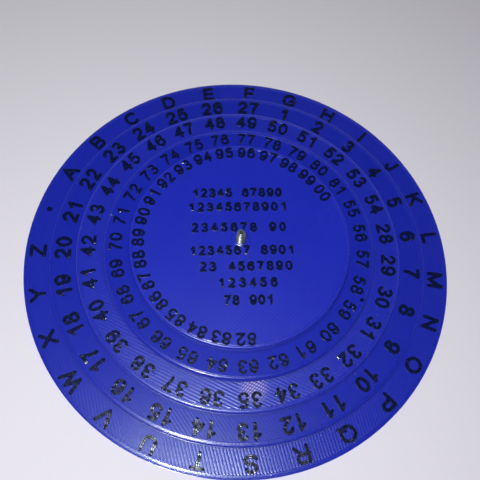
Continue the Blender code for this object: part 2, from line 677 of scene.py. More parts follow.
CAPITALS = {
    "A": glyph(0.96, ((0, 0), (0.48, 1), (0.96, 0)), ((0.17, 0.35), (0.79, 0.35))),
    "B": glyph(0.76, ((0, 0), (0, 1), Arc(0.42, 0.765, 0.27, 0.235, 90, -90), (0, 0.53)),
               (Arc(0.44, 0.265, 0.32, 0.265, 90, -90), (0, 0))),
    "C": glyph(0.90, (Arc(0.47, 0.50, 0.47, 0.50, 40, 320),)),
    "D": glyph(0.84, ((0, 0), (0, 1), Arc(0.34, 0.50, 0.50, 0.50, 90, -90), (0, 0))),
    "E": glyph(0.72, ((0.70, 1), (0, 1), (0, 0), (0.72, 0)), ((0, 0.53), (0.64, 0.53))),
    "F": glyph(0.66, ((0.66, 1), (0, 1), (0, 0)), ((0, 0.50), (0.56, 0.50))),
    "G": glyph(0.94, (Arc(0.47, 0.50, 0.47, 0.50, 42, 318), (0.93, 0.25), (0.93, 0.46), (0.52, 0.46))),
    "H": glyph(0.80, ((0, 0), (0, 1)), ((0.80, 0), (0.80, 1)), ((0, 0.53), (0.80, 0.53))),
    "I": glyph(0.0, ((0, 0), (0, 1))),
    "J": glyph(0.50, ((0.50, 1), (0.50, 0.28), Arc(0.25, 0.26, 0.25, 0.26, 0, -180), (0, 0.32))),
    "K": glyph(0.82, ((0, 0), (0, 1)), ((0.78, 1), (0, 0.33)), ((0.26, 0.56), (0.82, 0))),
    "L": glyph(0.62, ((0, 1), (0, 0), (0.62, 0))),
    "M": glyph(1.00, ((0, 0), (0, 1), (0.50, 0.02), (1, 1), (1, 0))),
    "N": glyph(0.80, ((0, 0), (0, 1), (0.80, 0), (0.80, 1))),
    "O": glyph(1.00, (Arc(0.50, 0.50, 0.50, 0.50),)),
    "P": glyph(0.80, ((0, 0), (0, 1), Arc(0.49, 0.735, 0.30, 0.265, 90, -90), (0, 0.47))),
    "Q": glyph(1.00, (Arc(0.50, 0.50, 0.50, 0.50),), ((0.62, 0.24), (1, -0.04))),
    "R": glyph(0.88, ((0, 0), (0, 1), Arc(0.50, 0.74, 0.30, 0.26, 90, -90), (0, 0.48)),
               ((0.46, 0.48), (0.88, 0))),
    "S": glyph(0.78, (Arc(0.38, 0.745, 0.34, 0.255, 22, 270),), (Arc(0.39, 0.25, 0.39, 0.25, 90, -158),)),
    "T": glyph(0.82, ((0, 1), (0.82, 1)), ((0.41, 1), (0.41, 0))),
    "U": glyph(0.80, ((0, 1), (0, 0.38), Arc(0.40, 0.36, 0.40, 0.36, 180, 360), (0.80, 1))),
    "V": glyph(0.92, ((0, 1), (0.46, 0), (0.92, 1))),
    "W": glyph(1.36, ((0, 1), (0.34, 0), (0.68, 1), (1.02, 0), (1.36, 1))),
    "X": glyph(0.88, ((0, 1), (0.88, 0)), ((0.88, 1), (0, 0))),
    "Y": glyph(0.90, ((0, 1), (0.45, 0.42), (0.90, 1)), ((0.45, 0.42), (0.45, 0))),
    "Z": glyph(0.80, ((0.02, 1), (0.78, 1), (0, 0), (0.80, 0))),
}

DOT = "dot"
GLYPHS = DIGITS | CAPITALS | {DOT: glyph(0.17, (Arc(0.085, 0.5, 0.085, 0.085),))}


@dataclass(frozen=True)
class BeadPath:
    """The middle line of one laid bead, on a flat face.

    Attributes:
        points: an array of n places by 3.
        swell: the bead's width at each place, as a share of its full width.
        closed: whether the line runs back into its start.
    """

    points: np.ndarray
    swell: np.ndarray
    closed: bool


@dataclass(frozen=True)
class Lettering:
    """How characters are set.

    Attributes:
        cap_height: their full height.
        bead_width: the width of the bead that draws them.
        pitch: from the middle of one to the middle of the next.
        step: the distance between points of a bead.
        corner: the bend above which a stroke is cut into two beads.
        end_angles: where points lie on the round end of a bead.
        same: how near two points of a unit box are when they count as one.
        joined: how near the ends of a stroke are when it is closed.
    """

    cap_height: float
    bead_width: float
    pitch: float
    step: float = 0.30 * MM
    corner: float = math.radians(40.0)
    end_angles: Place = (30.0, 58.0, 80.0)
    same: float = 1e-4
    joined: float = 1e-3

    def set_line(self, words: Sequence[str], middle: Vector, right: Vector) -> list[BeadPath]:
        """Set characters in one straight line, centred on a place.

        Args:
            words: the characters, where a space leaves a gap.
            middle: the centre of the line, half way up its characters.
            right: the direction of reading, one unit long.

        Returns:
            The beads of every stroke.
        """
        up = Vector((-right.y, right.x, 0.0))
        scale = self.cap_height - self.bead_width
        beads = []
        for index, character in enumerate(words):
            if character == " ":
                continue
            shape = GLYPHS[character]
            start = self.pitch * (index - (len(words) - 1) / 2) - shape.width * scale / 2
            for stroke in shape.strokes:
                for flat, closed in self._cut_at_corners(stroke):
                    flat = flat * scale + np.array((start, -scale / 2))
                    beads.append(self._lay(flat, closed, middle, right, up))
        return beads

    def _cut_at_corners(self, stroke: Stroke) -> list[tuple[np.ndarray, bool]]:
        """Cut a stroke into lines without sharp corners.

        Args:
            stroke: its points and arcs.

        Returns:
            Each line, with whether it is closed.
        """
        points: list[Point] = []
        for item in stroke:
            points += item.points() if isinstance(item, Arc) else [item]
        line = np.array(points, dtype=float)
        keep = np.append(True, np.linalg.norm(np.diff(line, axis=0), axis=1) > self.same)
        line = line[keep]
        if np.linalg.norm(line[0] - line[-1]) < self.joined and len(stroke) == 1:
            return [(line[:-1], True)]
        heading = np.unwrap(np.arctan2(*np.diff(line, axis=0).T[::-1]))
        corners = [i + 1 for i, bend in enumerate(np.diff(heading)) if abs(bend) > self.corner]
        ends = [0, *corners, len(line) - 1]
        return [(line[a:b + 1], False) for a, b in zip(ends, ends[1:])]

    def _lay(self, flat: np.ndarray, closed: bool, middle: Vector, right: Vector, up: Vector) -> BeadPath:
        """Lay a bead along a flat line.

        Args:
            flat: the line's points.
            closed: whether it is closed.
            middle: the place that the line's points are measured from.
            right: the direction of reading.
            up: the direction of the characters' tops.

        Returns:
            The bead, evenly stepped and with round ends.
        """
        loop = np.vstack((flat, flat[:1])) if closed else flat
        gone = np.append(0.0, np.cumsum(np.linalg.norm(np.diff(loop, axis=0), axis=1)))
        count = max(3, round(gone[-1] / self.step))
        along = np.linspace(0.0, gone[-1], count + 1)
        even = np.stack([np.interp(along, gone, loop[:, axis]) for axis in range(2)], axis=1)
        if closed:
            even = even[:-1]
        swell = np.ones(len(even))
        if not closed:
            even, swell = self._round_ends(even)
        places = np.array([middle + right * x + up * y for x, y in even])
        return BeadPath(places, swell, closed)

    def _round_ends(self, line: np.ndarray) -> tuple[np.ndarray, np.ndarray]:
        """Add points past both ends of a line, where the bead narrows to a round end.

        Args:
            line: the line's points.

        Returns:
            The longer line, and the bead's width along it as a share.
        """
        angles = np.radians(self.end_angles)
        reach = np.sin(angles)[:, None] * self.bead_width / 2
        narrow = np.cos(angles)
        first = (line[0] - line[1]) / np.linalg.norm(line[0] - line[1])
        last = (line[-1] - line[-2]) / np.linalg.norm(line[-1] - line[-2])
        points = np.vstack(((line[0] + reach * first)[::-1], line, line[-1] + reach * last))
        return points, np.concatenate((narrow[::-1], np.ones(len(line)), narrow))


def link_object(name: str, data: bpy.types.ID) -> bpy.types.Object:
    """Put a mesh, curve, lamp or camera into the scene.

    Args:
        name: the object's name.
        data: what it holds.

    Returns:
        The object, at the origin.
    """
    made = bpy.data.objects.new(name, data)
    bpy.context.scene.collection.objects.link(made)
    return made


def plain_mesh(source: bpy.types.Object, name: str) -> bpy.types.Object:
    """Replace an object that has modifiers by a plain mesh of what they make.

    Args:
        source: the object, which is removed.
        name: the new piece's name.

    Returns:
        A mesh object at the origin, in the scene.
    """
    bpy.context.view_layer.update()
    graph = bpy.context.evaluated_depsgraph_get()
    mesh = bpy.data.meshes.new_from_object(source.evaluated_get(graph))
    mesh.name = name
    bpy.data.objects.remove(source)
    return link_object(name, mesh)


def poly_spline(curve: bpy.types.Curve, places: Sequence[Sequence[float]], closed: bool) -> bpy.types.Spline:
    """Add a spline of straight stretches to a curve.

    Args:
        curve: the curve.
        places: the spline's points, each of three numbers.
        closed: whether it runs back into its start.

    Returns:
        The spline.
    """
    spline = curve.splines.new('POLY')
    spline.points.add(len(places) - 1)
    spline.use_cyclic_u = closed
    for point, place in zip(spline.points, places):
        point.co = (*place, 1.0)
    return spline


def bead_section(name: str, crests: int) -> bpy.types.Object:
    """Return the section of beads laid side by side, one unit wide and one high, as a closed curve.

    A curve that lies flat with its normals level carries a section upside down, so it hangs below zero.

    Args:
        name: the curve's name.
        crests: how many beads lie side by side.

    Returns:
        A curve object in the scene, for the builder to remove once the beads are laid.
    """
    crest_shape = ((0.04, 0.62), (0.22, 1.0), (0.78, 1.0), (0.96, 0.62))
    points: list[Point] = [(0.5, 0.0)]
    for crest in range(crests):
        right = 0.5 - crest / crests
        points += [(right - share / crests, height) for share, height in crest_shape]
    points.append((-0.5, 0.0))
    curve = bpy.data.curves.new(name, 'CURVE')
    poly_spline(curve, [(-x, -y, 0.0) for x, y in points], True)
    return link_object(name, curve)


@dataclass
class LaidPlastic:
    """The geometry nodes that lay beads of plastic along lines, with the lumps and hairs of a real print.

    Attributes:
        section: the bead's section, one unit wide and high.
        wander: how far a line strays from its place.
        swelling: how much a bead's width changes, as a share.
        blob_share: the share of a line's points that carry a blob.
        blob_scale: the smallest and the largest size of a blob each way, as shares of its radius.
        hair_share: the share of a line's points where a hair starts.
        hair_reach: the radius of the arc that a hair follows.
        hair_tilt: how far a hair leans out of the face at most, in radians.
        hair_height: how high a hair starts, as a share of the bead's height.
        hair_points: how many points lie along a hair, and how many go round it.
    """

    section: bpy.types.Object
    bead_width: float
    bead_height: float
    material: bpy.types.Material
    seed: int
    wander: float = 0.10 * MM
    wander_scale: float = 420.0
    swelling: float = 0.24
    swell_scale: float = 900.0
    skin_wander: float = 0.14
    skin_scale: float = 2200.0
    blob_share: float = 0.06
    blob_radius: float = 0.22 * MM
    blob_scale: tuple[Place, Place] = ((0.7, 0.7, 1.4), (1.4, 1.4, 2.3))
    hair_share: float = 0.012
    hair_radius: float = 0.035 * MM
    hair_reach: float = 1.3 * MM
    hair_sweep: float = math.radians(80.0)
    hair_height: float = 0.55
    hair_tilt: float = 0.08
    hair_points: tuple[int, int] = (9, 5)
    hair_scale: tuple[Place, Place] = ((0.4, 0.4, 1.0), (1.4, 1.4, 1.0))

    def lay(self, name: str, beads: Iterable[BeadPath]) -> bpy.types.Object:
        """Lay the beads as one plain mesh object.

        Args:
            name: the piece's name.
            beads: the lines to lay them along.

        Returns:
            A mesh object at the origin, in the scene.
        """
        curve = bpy.data.curves.new(name + "_lines", 'CURVE')
        curve.dimensions = '3D'
        for bead in beads:
            spline = poly_spline(curve, bead.points, bead.closed)
            for point, swell in zip(spline.points, bead.swell):
                point.radius = swell
        lines = link_object(name + "_lines", curve)
        inputs = {
            "Section": ("Object", self.section), "Bead Width": ("Float", self.bead_width),
            "Bead Height": ("Float", self.bead_height), "Wander": ("Float", self.wander),
            "Swelling": ("Float", self.swelling), "Blob Share": ("Float", self.blob_share),
            "Blob Radius": ("Float", self.blob_radius), "Hair Share": ("Float", self.hair_share),
            "Hair Radius": ("Float", self.hair_radius), "Hair Reach": ("Float", self.hair_reach),
            "Seed": ("Int", self.seed), "Material": ("Material", self.material),
        }
        tree, sockets = self._tree({label: kind for label, (kind, value) in inputs.items()})
        modifier = lines.modifiers.new("laid_plastic", 'NODES')
        modifier.node_group = tree
        for label, (kind, value) in inputs.items():
            modifier[sockets[label]] = value
        return plain_mesh(lines, name)

    def _tree(self, kinds: dict[str, str]) -> tuple[bpy.types.NodeTree, dict[str, str]]:
        """Build the tree.

        Args:
            kinds: the kind of each named input, after the lines.

        Returns:
            The tree, and the identifier of each named input.
        """
        tree = bpy.data.node_groups.new("laid_plastic", 'GeometryNodeTree')
        canvas = Canvas(tree)
        sockets = {
            label: tree.interface.new_socket(
                name=label, in_out='INPUT', socket_type="NodeSocket" + kind).identifier
            for label, kind in ({"Lines": "Geometry"} | kinds).items()
        }
        tree.interface.new_socket(name="Print", in_out='OUTPUT', socket_type='NodeSocketGeometry')
        given = canvas.node("NodeGroupInput").outputs
        lines = self._wandering_lines(canvas, given)
        join = canvas.node("GeometryNodeJoinGeometry")
        for part in (self._swept_beads, self._blobs, self._hairs):
            tree.links.new(part(canvas, given, lines), join.inputs[0])
        real = canvas.out("GeometryNodeRealizeInstances", {"Geometry": join.outputs[0]})
        crisp = canvas.out("GeometryNodeSetShadeSmooth", {"Geometry": real, "Shade Smooth": False})
        dressed = canvas.out("GeometryNodeSetMaterial", {"Geometry": crisp, "Material": given["Material"]})
        canvas.node("NodeGroupOutput", {0: dressed})
        return tree, sockets

    def _wandering_lines(self, canvas: Canvas, given: bpy.types.bpy_prop_collection) -> Socket:
        """Move the lines a little from their places, in the flat, and let their beads swell.

        Args:
            canvas: the tree's canvas.
            given: the tree's inputs.

        Returns:
            The lines.
        """
        where = canvas.out("GeometryNodeInputPosition")
        stray = canvas.vector("MULTIPLY", canvas.drift(where, self.wander_scale), (2.0, 2.0, 0.0))
        moved = canvas.out("GeometryNodeSetPosition", {
            "Geometry": given["Lines"], "Offset": canvas.scaled(stray, given["Wander"])})
        lumps = canvas.math("SUBTRACT", canvas.noise(where, self.swell_scale, 1.0), 0.5)
        share = canvas.math("MULTIPLY_ADD", lumps, canvas.math("MULTIPLY", given["Swelling"], 2.0), 1.0)
        radius = canvas.math("MULTIPLY", canvas.out("GeometryNodeInputRadius"), share)
        swollen = canvas.out("GeometryNodeSetCurveRadius", {"Curve": moved, "Radius": radius})
        return canvas.out("GeometryNodeSetCurveNormal", {"Curve": swollen}, mode='Z_UP')

    def _swept_beads(self, canvas: Canvas, given: bpy.types.bpy_prop_collection, lines: Socket) -> Socket:
        """Sweep the bead's section along the lines.

        Args:
            canvas: the tree's canvas.
            given: the tree's inputs.
            lines: the wandering lines.

        Returns:
            The beads, with small lumps on their skin.
        """
        section = canvas.node("GeometryNodeObjectInfo", {"Object": given["Section"]}).outputs["Geometry"]
        size = canvas.out("ShaderNodeCombineXYZ", {
            "X": given["Bead Width"], "Y": given["Bead Height"], "Z": 1.0})
        sized = canvas.out("GeometryNodeTransform", {"Geometry": section, "Scale": size})
        swept = canvas.out("GeometryNodeCurveToMesh", {
            "Curve": lines, "Profile Curve": sized, "Scale": canvas.out("GeometryNodeInputRadius"),
            "Fill Caps": True})
        lumps = canvas.drift(canvas.out("GeometryNodeInputPosition"), self.skin_scale)
        height = canvas.math("MULTIPLY", given["Wander"], self.skin_wander)
        return canvas.out("GeometryNodeSetPosition", {
            "Geometry": swept, "Offset": canvas.scaled(lumps, height)})

    def _chance(self, canvas: Canvas, given: bpy.types.bpy_prop_collection, share: str,
                offset: int) -> Socket:
        """Pick some of the points.

        Args:
            canvas: the tree's canvas.
            given: the tree's inputs.
            share: the name of the input that says which share is picked.
            offset: what is added to the seed.

        Returns:
            The selection.
        """
        seed = canvas.math("ADD", given["Seed"], offset)
        pick = canvas.node("FunctionNodeRandomValue", {"Probability": given[share], "Seed": seed},
                           data_type='BOOLEAN')
        return next(out for out in pick.outputs if out.enabled)

    def _spread(self, canvas: Canvas, given: bpy.types.bpy_prop_collection, low: Place, high: Place,
                offset: int) -> Socket:
        """Draw a random vector for each point.

        Args:
            canvas: the tree's canvas.
            given: the tree's inputs.
            low: the lowest that it can be each way.
            high: the highest that it can be each way.
            offset: what is added to the seed.

        Returns:
            The vector.
        """
        seed = canvas.math("ADD", given["Seed"], offset)
        pick = canvas.node("FunctionNodeRandomValue", {"Min": low, "Max": high, "Seed": seed},
                           data_type='FLOAT_VECTOR')
        return pick.outputs["Value"]

    def _blobs(self, canvas: Canvas, given: bpy.types.bpy_prop_collection, lines: Socket) -> Socket:
        """Put flat round blobs on a share of the lines' points.

        Args:
            canvas: the tree's canvas.
            given: the tree's inputs.
            lines: the wandering lines.

        Returns:
            The blobs.
        """
        ball = canvas.out("GeometryNodeMeshIcoSphere", {"Radius": given["Blob Radius"], "Subdivisions": 1})
        return canvas.out("GeometryNodeInstanceOnPoints", {
            "Points": lines, "Selection": self._chance(canvas, given, "Blob Share", 1), "Instance": ball,
            "Scale": self._spread(canvas, given, *self.blob_scale, 2)})

    def _hairs(self, canvas: Canvas, given: bpy.types.bpy_prop_collection, lines: Socket) -> Socket:
        """Draw out fine hairs that start on a share of the lines' points and lie on the face.

        Args:
            canvas: the tree's canvas.
            given: the tree's inputs.
            lines: the wandering lines.

        Returns:
            The hairs.
        """
        along, around = self.hair_points
        arc = canvas.out("GeometryNodeCurveArc", {
            "Resolution": along, "Radius": given["Hair Reach"], "Sweep Angle": self.hair_sweep})
        hair = canvas.out("GeometryNodeCurvePrimitiveCircle", {
            "Resolution": around, "Radius": given["Hair Radius"]})
        strand = canvas.out("GeometryNodeCurveToMesh", {
            "Curve": arc, "Profile Curve": hair, "Fill Caps": True})
        lift = canvas.out("ShaderNodeCombineXYZ", {
            "X": canvas.math("MULTIPLY", given["Hair Reach"], -1.0),
            "Z": canvas.math("MULTIPLY", given["Bead Height"], self.hair_height)})
        lifted = canvas.out("GeometryNodeTransform", {"Geometry": strand, "Translation": lift})
        lean = (self.hair_tilt, self.hair_tilt, math.pi)
        turn = self._spread(canvas, given, tuple(-angle for angle in lean), lean, 4)
        return canvas.out("GeometryNodeInstanceOnPoints", {
            "Points": lines, "Selection": self._chance(canvas, given, "Hair Share", 3), "Instance": lifted,
            "Rotation": turn, "Scale": self._spread(canvas, given, *self.hair_scale, 5)})


def turned_mesh(name: str, section: Sequence[Point], closed: bool, segments: int,
                material: bpy.types.Material) -> bpy.types.Object:
    """Turn a section about the Z axis.

    Args:
        name: the piece's name.
        section: (radius, height) points that run down the outer side.
        closed: whether the section is a loop, as of a ring, or starts and ends on the axis.
        segments: how many facets go round.
        material: its finish.

    Returns:
        A mesh object at the origin, in the scene.
    """
    edges = [(i, i + 1) for i in range(len(section) - 1)]
    if closed:
        edges.append((len(section) - 1, 0))
    outline = bpy.data.meshes.new(name + "_section")
    outline.from_pydata([(radius, 0.0, height) for radius, height in section], edges, [])
    blank = link_object(name + "_section", outline)
    screw = blank.modifiers.new("turn", 'SCREW')
    screw.steps = screw.render_steps = segments
    screw.use_merge_vertices = True
    screw.merge_threshold = 0.001 * MM
    piece = plain_mesh(blank, name)
    piece.data.materials.clear()
    piece.data.materials.append(material)
    piece.data.shade_smooth()
    piece.data.set_sharp_from_angle(angle=SHARP_TURN)
    return piece


def rounded(middle: Point, radius: float, start: float, end: float, steps: int) -> list[Point]:
    """Return points on a round turn of a section.

    Args:
        middle: the middle of the turn.
        radius: its radius.
        start: the tilt of the surface at the first point, 0 where it lies flat.
        end: the tilt at the last point.
        steps: how many stretches it has.

    Returns:
        The points, one more than the steps.
    """
    tilts = [start + (end - start) * step / steps for step in range(steps + 1)]
    return [(middle[0] + radius * math.sin(tilt), middle[1] + radius * math.cos(tilt)) for tilt in tilts]


@dataclass(frozen=True)
class Crown:
    """The gently rounded top of a disc's rim.

    Attributes:
        beads: how many printed lines wide it is.
        radius: the radius of the round.
        turn: how far it is tilted where the tight edge begins.
    """

    beads: int = 2
    radius: float = 1.0 * MM
    turn: float = math.radians(28.0)


@dataclass
class PrintedDisc:
    """One printed disc: layered wall, crowned rim, a lip round its bore, and a flat filled face.

    Attributes:
        counterbore: the radius and the depth of the hole under the disc for the pin's head.
        foot_chamfer: how wide and how high the foot's upper edge is cut.
        skirt: how far the foot reaches below the underside.
        lip_shape: points of the lip, as shares of its width and of its rise.
        bead_top: where the flat top of a rim's bead begins and ends, as shares of a line.
        crest_share: how far in the crown's top begins, as a share of a line.
        round_steps: how many stretches the crown and the edge each have.
    """

    node: str
    body: Body
    fill: Fill
    crown: Crown = Crown()
    counterbore: Point | None = None
    skirt: float = SKIRT
    bore_radius: float = 1.3 * MM
    bore_lip: float = 0.7 * MM
    lip_rise: float = 0.21 * MM
    lip_shape: tuple[Point, ...] = ((0.0, 0.4), (0.1, 0.9), (0.2, 1.0), (0.85, 0.15), (1.0, 0.0))
    line_width: float = 0.41 * MM
    layer_height: float = 0.2 * MM
    groove: float = 0.015 * MM
    layer_groove: float = 0.05 * MM
    layer_steps: int = 6
    edge_radius: float = 0.15 * MM
    foot_width: float = 0.14 * MM
    foot_height: float = 0.35 * MM
    foot_chamfer: Point = (0.02 * MM, 0.04 * MM)
    rim_beads: int = 3
    bead_top: Point = (0.1, 0.8)
    crest_share: float = 0.15
    round_steps: int = 6
    segments: int = 216

    def build(self) -> bpy.types.Object:
        """Make the disc in place of its node.

        Returns:
            The finished piece.
        """
        low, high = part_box(self.node)
        self.radius = high.x
        self.bottom, self.top = low.z, high.z
        finish = PrintedBlue(self.node + "_plastic", self.radius, self.bore_radius + self.bore_lip, self.fill,
                             self.line_width, self.rim_beads)
        section = [*self._rim(), *self._wall(), *self._underside(), *self._bore()]
        piece = turned_mesh("printed_" + self.node, section, True, self.segments, finish.make())
        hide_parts(self.node)
        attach(piece, self.body.value)
        LOG.info("%s: radius %.1f mm, top at %.1f mm", piece.name, self.radius / MM, self.top / MM)
        return piece

    def _rim(self) -> list[Point]:
        """Draw the rim from the fill outwards: any separate beads, the crown and the tight edge.

        Returns:
            The section's points there.
        """
        flat = self.top - EDGE_RISE
        line, crown = self.line_width, self.crown
        points = []
        for bead in range(self.rim_beads, crown.beads, -1):
            inner = self.radius - bead * line
            points += [(inner, flat - self.groove)]
            points += [(inner + share * line, flat) for share in self.bead_top]
        points += [(self.radius - crown.beads * line, flat - self.groove),
                   (self.radius - (crown.beads - self.crest_share) * line, self.top)]
        edge = self._edge_middle()
        middle = (edge[0] - (crown.radius - self.edge_radius) * math.sin(crown.turn), self.top - crown.radius)
        points += rounded(middle, crown.radius, 0.0, crown.turn, self.round_steps)[:-1]
        return points + rounded(edge, self.edge_radius, crown.turn, math.pi / 2, self.round_steps)

    def _edge_middle(self) -> Point:
        """Return the middle of the tight turn between the crown and the wall."""
        rise = (self.crown.radius - self.edge_radius) * math.cos(self.crown.turn)
        return (self.radius - self.foot_width - self.edge_radius, self.top - self.crown.radius + rise)

    def _wall(self) -> list[Point]:
        """Draw the outer wall, going down, with one round crest for each layer and a narrow foot.

        Returns:
            The section's points there.
        """
        start = self._edge_middle()[1]
        ledge = self.bottom + self.foot_height
        upright = self.radius - self.foot_width
        layers = int((start - ledge) / self.layer_height)
        height = (start - ledge) / layers
        points = []
        for layer in range(layers):
            middle = start - (layer + 0.5) * height
            for step in range(1, self.layer_steps + 1):
                angle = math.pi * (0.5 - step / self.layer_steps)
                points.append((upright - self.layer_groove * (1.0 - math.cos(angle)),
                               middle + 0.5 * height * math.sin(angle)))
        foot = self.bottom - self.skirt
        cut_width, cut_height = self.foot_chamfer
        return [*points, (self.radius - cut_width, ledge), (self.radius, ledge - cut_height),
                (self.radius, foot), (self.radius - self.line_width, foot)]

    def _underside(self) -> list[Point]:
        """Draw the flat underside, with the counterbore where the disc has one.

        Returns:
            The section's points there.
        """
        if self.counterbore is None:
            return [(self.radius - self.line_width, self.bottom),
                    (self.bore_radius + self.line_width, self.bottom),
                    (self.bore_radius, self.bottom + self.line_width)]
        wide, deep = self.counterbore
        return [(wide, self.bottom), (wide, self.bottom + deep), (self.bore_radius, self.bottom + deep)]

    def _bore(self) -> list[Point]:
        """Draw the bore's round lip, going up and out to the fill.

        Returns:
            The section's points there.
        """
        flat = self.top - EDGE_RISE
        points = [(self.bore_radius + across * self.bore_lip, flat + up * self.lip_rise)
                  for across, up in self.lip_shape]
        points.append((self.bore_radius + self.bore_lip + 0.5 * self.line_width, flat - self.groove))
        return points


@dataclass
class DialRing:
    """The ring of raised characters on one disc, each with its foot towards the pin.

    Attributes:
        labels: what stands at each of the 27 places, clockwise from the A of the widest disc.
        turn: how far the ring is turned clockwise from the letters, in degrees.
        pitch_share: from one character of a label to the next, as a share of their height.
        first_place: the angle of the first place, counterclockwise from the X axis, in degrees.
    """

    node: str
    body: Body
    labels: list[Sequence[str]]
    middle_radius: float
    cap_height: float
    turn: float
    seed: int
    bead_width: float = 1.0 * MM
    bead_height: float = 0.44 * MM
    pitch_share: float = 0.79
    first_place: float = 159.85

    def beads(self) -> list[BeadPath]:
        """Set every label of the ring.

        Returns:
            The beads.
        """
        lettering = Lettering(self.cap_height, self.bead_width, self.pitch_share * self.cap_height)
        beads = []
        for place, label in enumerate(self.labels):
            angle = math.radians(self.first_place - self.turn - place * 360.0 / len(self.labels))
            beads += self.set_at(lettering, label, angle, self.middle_radius)
        return beads

    def set_at(self, lettering: Lettering, label: Sequence[str], angle: float,
               radius: float) -> list[BeadPath]:
        """Set one label on the disc's top face.

        Args:
            lettering: how its characters are set.
            label: the characters.
            angle: its direction from the pin, counterclockwise from the X axis.
            radius: its distance from the pin.

        Returns:
            Its beads.
        """
        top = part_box(self.node)[1].z
        outward = Vector((math.cos(angle), math.sin(angle), 0.0))
        right = Vector((outward.y, -outward.x, 0.0))
        middle = outward * radius + Vector((0.0, 0.0, top - SINK))
        return lettering.set_line(label, middle, right)

    def build(self, section: bpy.types.Object, material: bpy.types.Material,
              extra: Iterable[BeadPath] = ()) -> bpy.types.Object:
        """Lay the ring, with any other beads on the same disc, and let it ride on the disc.

        Args:
            section: the bead's section.
            material: the black plastic.
            extra: more beads on the same disc.

        Returns:
            The finished piece.
        """
        plastic = LaidPlastic(section, self.bead_width, self.bead_height, material, self.seed)
        piece = plastic.lay("characters_" + self.node, [*self.beads(), *extra])
        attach(piece, self.body.value)
        LOG.info("%s: %d faces", piece.name, len(piece.data.polygons))
        return piece


@dataclass(frozen=True)
class NumberRow:
    """One row of plain numbers: its place from the pin and its length in mm, and the digits in each group."""

    across: float
    up: float
    length: float
    groups: tuple[int, ...]


@dataclass
class NumberTable:
    """The rows of plain numbers in the middle of the smallest disc.

    Attributes:
        rows: the rows from the top down.
        slope: how far the rows are turned from the X axis, in degrees.
    """

    node: str
    rows: tuple[NumberRow, ...]
    slope: float = 8.8
    cap_height: float = 2.8 * MM
    bead_width: float = 0.62 * MM
    step: float = 0.25 * MM

    def beads(self) -> list[BeadPath]:
        """Set every row, counting up through the digits.

        Returns:
            The beads.
        """
        slope = math.radians(self.slope)
        right = Vector((math.cos(slope), math.sin(slope), 0.0))
        up = Vector((-right.y, right.x, 0.0))
        top = Vector((0.0, 0.0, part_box(self.node)[1].z - SINK))
        beads = []
        count = 0
        for row in self.rows:
            words = []
            for length in row.groups:
                words.append("".join(str((count + digit + 1) % 10) for digit in range(length)))
                count += length
            text = " ".join(words)
            lettering = Lettering(self.cap_height, self.bead_width, row.length * MM / len(text), self.step)
            middle = right * (row.across * MM) + up * (row.up * MM) + top
            beads += lettering.set_line(text, middle, right)
        return beads


@dataclass
class RingedNail:
    """The steel pin: a ring-shank nail with its head below and its point cut off above.

    Attributes:
        ringed_from: the height where the rings begin.
        taper: the length over which the cut end is filed narrower.
        end_shares: where the dish and the crest of the cut end lie, as shares of its radius.
        lip: the height of the flat on a ring's crest.
        neck: how wide and how high the slope from the shaft to the head is.
        head_steps: how many stretches the head's round edge has.
    """

    node: str = "centre_pin"
    body: Body = Body.BASE
    radius: float = 1.2 * MM
    ring_pitch: float = 0.30 * MM
    ring_depth: float = 0.11 * MM
    ring_slope: float = math.radians(28.0)
    taper: float = 1.6 * MM
    ringed_from: float = 11.0 * MM
    lip: float = 0.01 * MM
    neck: Point = (0.1 * MM, 0.2 * MM)
    head_radius: float = 2.7 * MM
    head_height: float = 0.8 * MM
    head_round: float = 0.2 * MM
    head_chamfer: float = 0.15 * MM
    head_steps: int = 3
    end_radius: float = 0.80 * MM
    end_shares: Point = (0.7, 0.85)
    end_dish: float = 0.10 * MM
    segments: int = 72

    def build(self, material: bpy.types.Material) -> bpy.types.Object:
        """Make the pin in place of its node.

        Args:
            material: its steel.

        Returns:
            The finished piece.
        """
        low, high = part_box(self.node)
        piece = turned_mesh("ringed_nail", self._section(low.z, high.z), False, self.segments, material)
        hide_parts(self.node)
        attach(piece, self.body.value)
        LOG.info("%s: %.1f mm long", piece.name, (high.z - low.z) / MM)
        return piece

    def _section(self, low: float, high: float) -> list[Point]:
        """Draw the pin's section, from the axis at its cut end to the axis under its head.

        Args:
            low: the height of its underside.
            high: the height of its cut end.

        Returns:
            The section's points.
        """
        dish, crest = self.end_shares
        points = [(0.0, high - self.end_dish), (dish * self.end_radius, high - self.end_dish),
                  (crest * self.end_radius, high)]
        upper = high - self.lip
        while upper - self.ring_pitch > self.ringed_from:
            grown = min(1.0, (high - upper) / self.taper)
            points += self._one_ring(upper, self.end_radius + (self.radius - self.end_radius) * grown)
            upper -= self.ring_pitch
        head_top = low + self.head_height
        points += [(self.radius - self.ring_depth, upper), (self.radius, upper - self.ring_depth),
                   (self.radius, head_top + self.neck[1]), (self.radius + self.neck[0], head_top)]
        corner = (self.head_radius - self.head_round, head_top - self.head_round)
        points += rounded(corner, self.head_round, 0.0, math.pi / 2, self.head_steps)
        return points + [(self.head_radius, low + self.head_chamfer),
                         (self.head_radius - self.head_chamfer, low), (0.0, low)]

    def _one_ring(self, upper: float, radius: float) -> list[Point]:
        """Draw one ring of the shank, going down: a shallow slope out, then an undercut back in.

        Args:
            upper: the height of its upper edge.
            radius: the radius of its crest.

        Returns:
            Its points.
        """
        fall = self.ring_depth * math.tan(self.ring_slope)
        return [(radius - self.ring_depth, upper), (radius, upper - fall), (radius, upper - fall - self.lip)]


